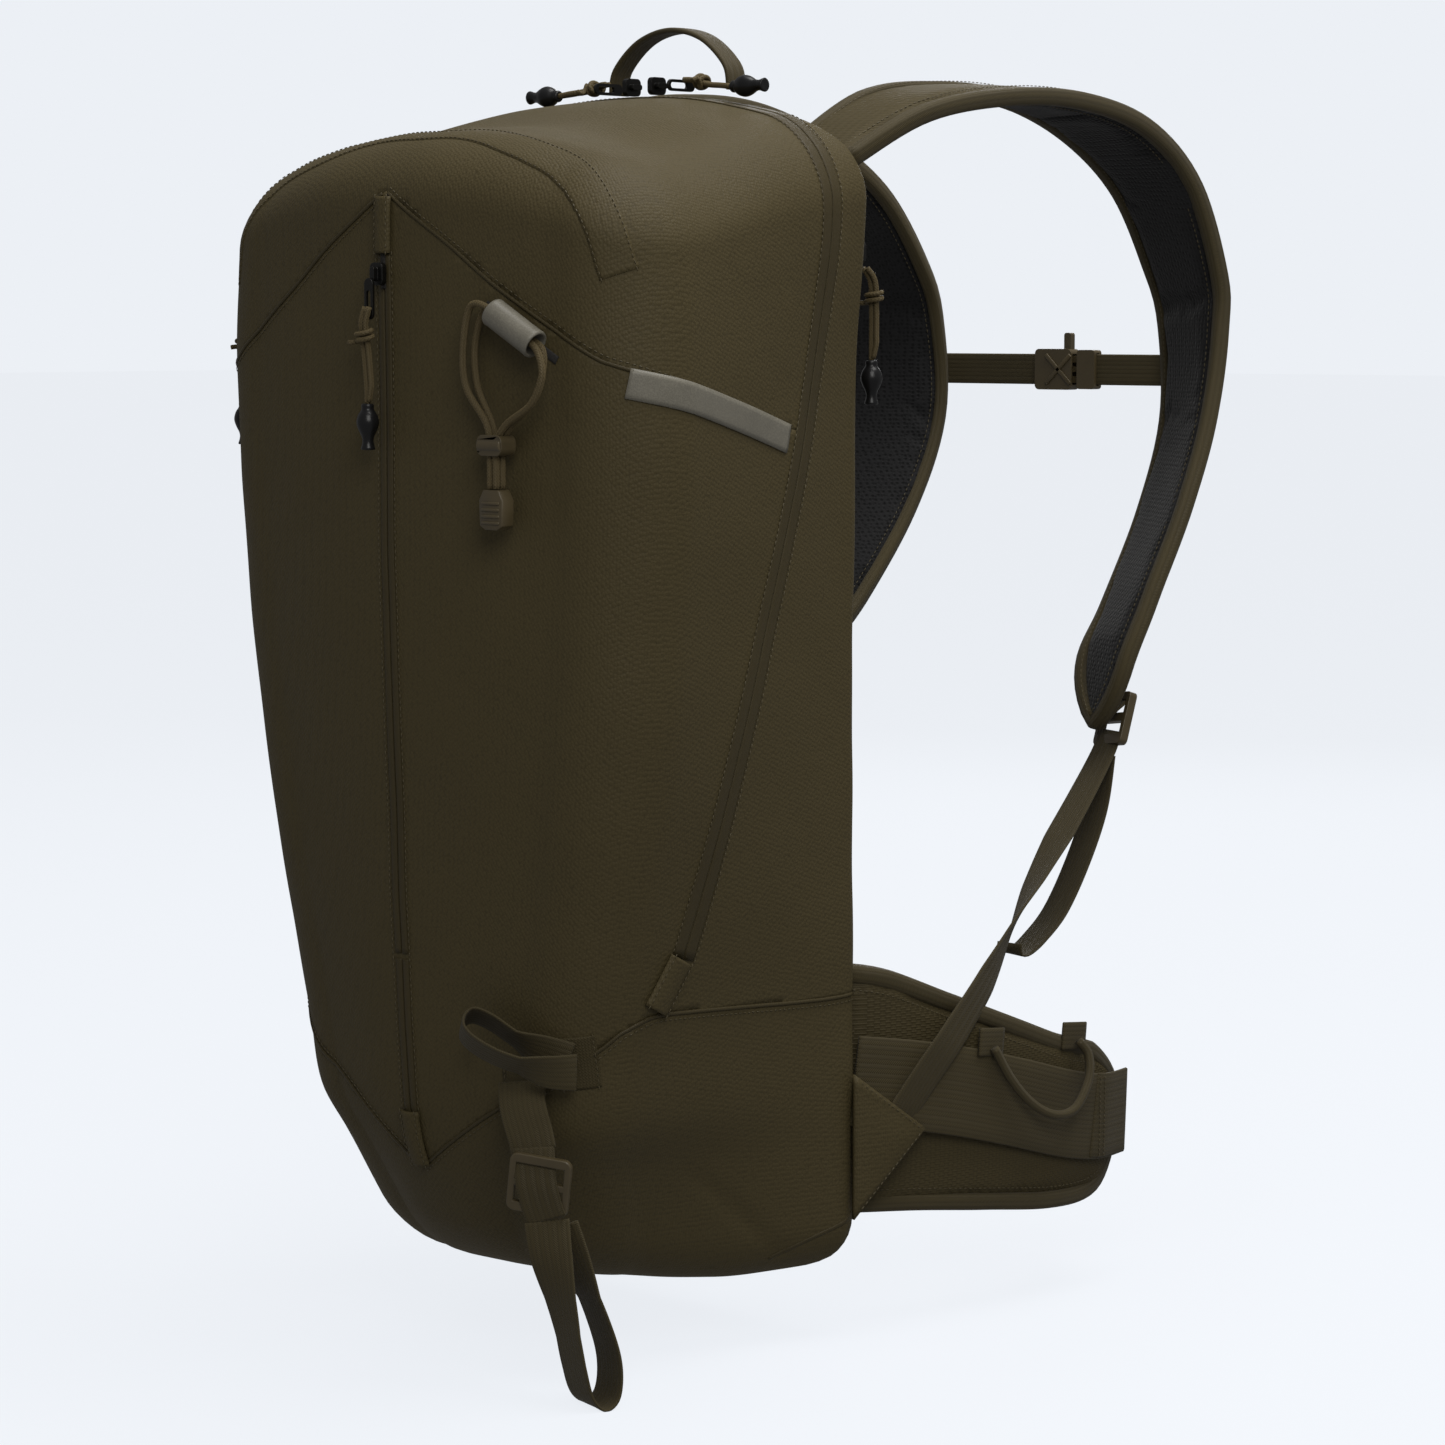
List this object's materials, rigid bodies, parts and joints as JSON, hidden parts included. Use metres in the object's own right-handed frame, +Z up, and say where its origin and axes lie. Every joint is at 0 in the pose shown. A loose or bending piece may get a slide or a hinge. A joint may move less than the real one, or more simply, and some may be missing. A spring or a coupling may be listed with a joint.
{
  "type": "avalanche airbag backpack",
  "caption": "Ski backpack with a clamshell zip, front pocket zip, tool holders, harness and a fan-inflated safety airbag stowed in its head.",
  "frame": {"origin": "centre of the back pad's face, which rests on the wearer's back", "axes": "+Z up as worn, +Y towards the wearer, +X to the wearer's right"},
  "size_m": [0.3309, 0.559, 0.6774],
  "materials": {
    "fabric": "matt laminated weave",
    "zip_tape": "smooth coated tape",
    "webbing": "satin webbing",
    "cord": "braided cord",
    "lining": "matt mesh",
    "buckle_plastic": "satin moulded",
    "bead": "gloss",
    "slider_metal": "satin black",
    "reflective": "reflective film",
    "airbag_cloth": "coated nylon",
    "housing": "matt moulded"
  },
  "bodies": {
    "root": {"back_shell": "fabric", "base_boot": "fabric", "main_zip_rear": "zip_tape", "front_zip_foot": "zip_tape", "back_pad": "lining", "axe_loop": "webbing", "ski_strap": "webbing", "ski_buckle": "buckle_plastic", "wing_patch_right": "fabric", "wing_patch_left": "fabric", "strap_web_right": "webbing", "strap_web_left": "webbing", "fan_housing": "housing", "power_pack": "housing", "folded_airbag": "airbag_cloth"},
    "front": {"front_panel": "fabric", "head_panel": "fabric", "main_zip_front": "zip_tape", "front_zip": "zip_tape", "reflective_strip": "reflective", "axe_sleeve": "reflective"},
    "front_runner": {"front_slider": "slider_metal"},
    "front_pull": {"front_tab": "slider_metal", "front_cord": "cord", "front_bead": "bead"},
    "main_right_runner": {"main_right_slider": "slider_metal"},
    "main_right_pull": {"main_right_tab": "slider_metal", "main_right_cord": "cord", "main_right_bead": "bead"},
    "main_left_runner": {"main_left_slider": "slider_metal"},
    "main_left_pull": {"main_left_tab": "slider_metal", "main_left_cord": "cord", "main_left_bead": "bead"},
    "side_runner": {"side_slider": "slider_metal"},
    "side_pull": {"side_cord": "cord", "side_bead": "bead"},
    "rear_runner": {"rear_slider": "slider_metal"},
    "rear_pull": {"rear_cord": "cord", "rear_bead": "bead"},
    "axe_pull": {"axe_cord_outer": "cord", "axe_cord_inner": "cord", "axe_toggle": "buckle_plastic"},
    "axe_clip": {"cord_clip": "buckle_plastic"},
    "handle": {"carry_handle": "webbing"},
    "strap_right": {"shoulder_pad_right": "fabric", "ladder_lock_right": "buckle_plastic"},
    "strap_left": {"shoulder_pad_left": "fabric", "ladder_lock_left": "buckle_plastic", "sternum_web_left": "webbing", "sternum_buckle_female": "buckle_plastic"},
    "sternum_male": {"sternum_buckle_male": "buckle_plastic", "sternum_web_right": "webbing"},
    "trigger": {"trigger_handle": "bead"},
    "hip_right": {"hip_wing_right": "fabric", "hip_web_right": "webbing", "gear_loop": "webbing"},
    "hip_left": {"hip_wing_left": "fabric", "hip_web_left": "webbing"},
    "ski_hanger": {"ski_loop": "webbing"},
    "impeller": {"fan_impeller": "housing"}
  },
  "joints": [
    {"name": "front_opening", "type": "hinge", "parent": "root", "child": "front", "pos_m": [0, -0.2209, -0.132], "axis": [1, 0, 0], "range_deg": [0, 95]},
    {"name": "front_slider_travel", "type": "slide", "parent": "front", "child": "front_runner", "axis": [0, 0.016, -0.9999], "range_m": [0, 0.22]},
    {"name": "front_pull_swing", "type": "hinge", "parent": "front_runner", "child": "front_pull", "pos_m": [0, -0.2374, 0.2015], "axis": [1, 0, 0], "range_deg": [-100, 0]},
    {"name": "main_right_slider_travel", "type": "slide", "parent": "root", "child": "main_right_runner", "axis": [0.9994, 0, -0.035], "range_m": [0, 0.045]},
    {"name": "main_right_pull_swing", "type": "hinge", "parent": "main_right_runner", "child": "main_right_pull", "pos_m": [0.017, -0.0449, 0.302], "axis": [0, -1, 0], "range_deg": [0, 110]},
    {"name": "main_left_slider_travel", "type": "slide", "parent": "root", "child": "main_left_runner", "axis": [-0.9994, 0, -0.035], "range_m": [0, 0.045]},
    {"name": "main_left_pull_swing", "type": "hinge", "parent": "main_left_runner", "child": "main_left_pull", "pos_m": [-0.017, -0.0449, 0.302], "axis": [0, 1, 0], "range_deg": [0, 110]},
    {"name": "side_slider_travel", "type": "slide", "parent": "front", "child": "side_runner", "axis": [0, 0, -1], "range_m": [0, 0.09]},
    {"name": "side_pull_swing", "type": "hinge", "parent": "side_runner", "child": "side_pull", "pos_m": [-0.159, -0.1824, 0.188], "axis": [0, 1, 0], "range_deg": [0, 90]},
    {"name": "rear_slider_travel", "type": "slide", "parent": "root", "child": "rear_runner", "axis": [0, 0, -1], "range_m": [0, 0.12]},
    {"name": "rear_pull_swing", "type": "hinge", "parent": "rear_runner", "child": "rear_pull", "pos_m": [0.116, -0.006, 0.21], "axis": [1, 0, 0], "range_deg": [0, 90]},
    {"name": "axe_cord_swing", "type": "hinge", "parent": "front", "child": "axe_pull", "pos_m": [0.091, -0.2289, 0.178], "axis": [0.8543, 0.0854, -0.5126], "range_deg": [-80, 0]},
    {"name": "cord_clip_travel", "type": "slide", "parent": "axe_pull", "child": "axe_clip", "axis": [0, 0, 1], "range_m": [-0.012, 0]},
    {"name": "handle_fold", "type": "hinge", "parent": "root", "child": "handle", "pos_m": [0, -0.0204, 0.298], "axis": [1, 0, 0], "range_deg": [-80, 35]},
    {"name": "strap_right_swing", "type": "hinge", "parent": "root", "child": "strap_right", "pos_m": [0.105, -0.0074, 0.28], "axis": [1, 0, 0], "range_deg": [0, 18]},
    {"name": "strap_left_swing", "type": "hinge", "parent": "root", "child": "strap_left", "pos_m": [-0.105, -0.0074, 0.28], "axis": [1, 0, 0], "range_deg": [0, 18]},
    {"name": "sternum_release", "type": "slide", "parent": "strap_right", "child": "sternum_male", "axis": [1, 0, 0], "range_m": [0, 0.022]},
    {"name": "trigger_pull", "type": "slide", "parent": "strap_left", "child": "trigger", "axis": [-0.05, -0.42, -0.9061], "range_m": [0, 0.04]},
    {"name": "hip_right_fold", "type": "hinge", "parent": "root", "child": "hip_right", "pos_m": [0.114, -0.0064, -0.216], "axis": [0, 0, 1], "range_deg": [0, 30]},
    {"name": "hip_left_fold", "type": "hinge", "parent": "root", "child": "hip_left", "pos_m": [-0.114, -0.0064, -0.216], "axis": [0, 0, 1], "range_deg": [-30, 0]},
    {"name": "ski_loop_swing", "type": "hinge", "parent": "root", "child": "ski_hanger", "pos_m": [0.0936, -0.2128, -0.2515], "axis": [0.8758, 0.4677, -0.1194], "range_deg": [-70, 0]},
    {"name": "impeller_spin", "type": "hinge", "parent": "root", "child": "impeller", "pos_m": [0.06, -0.0764, 0.12], "axis": [0, 1, 0], "continuous": true}
  ],
  "couplings": [
    {"joint": "strap_left_swing", "follows": "strap_right_swing", "ratio": 1}
  ]
}
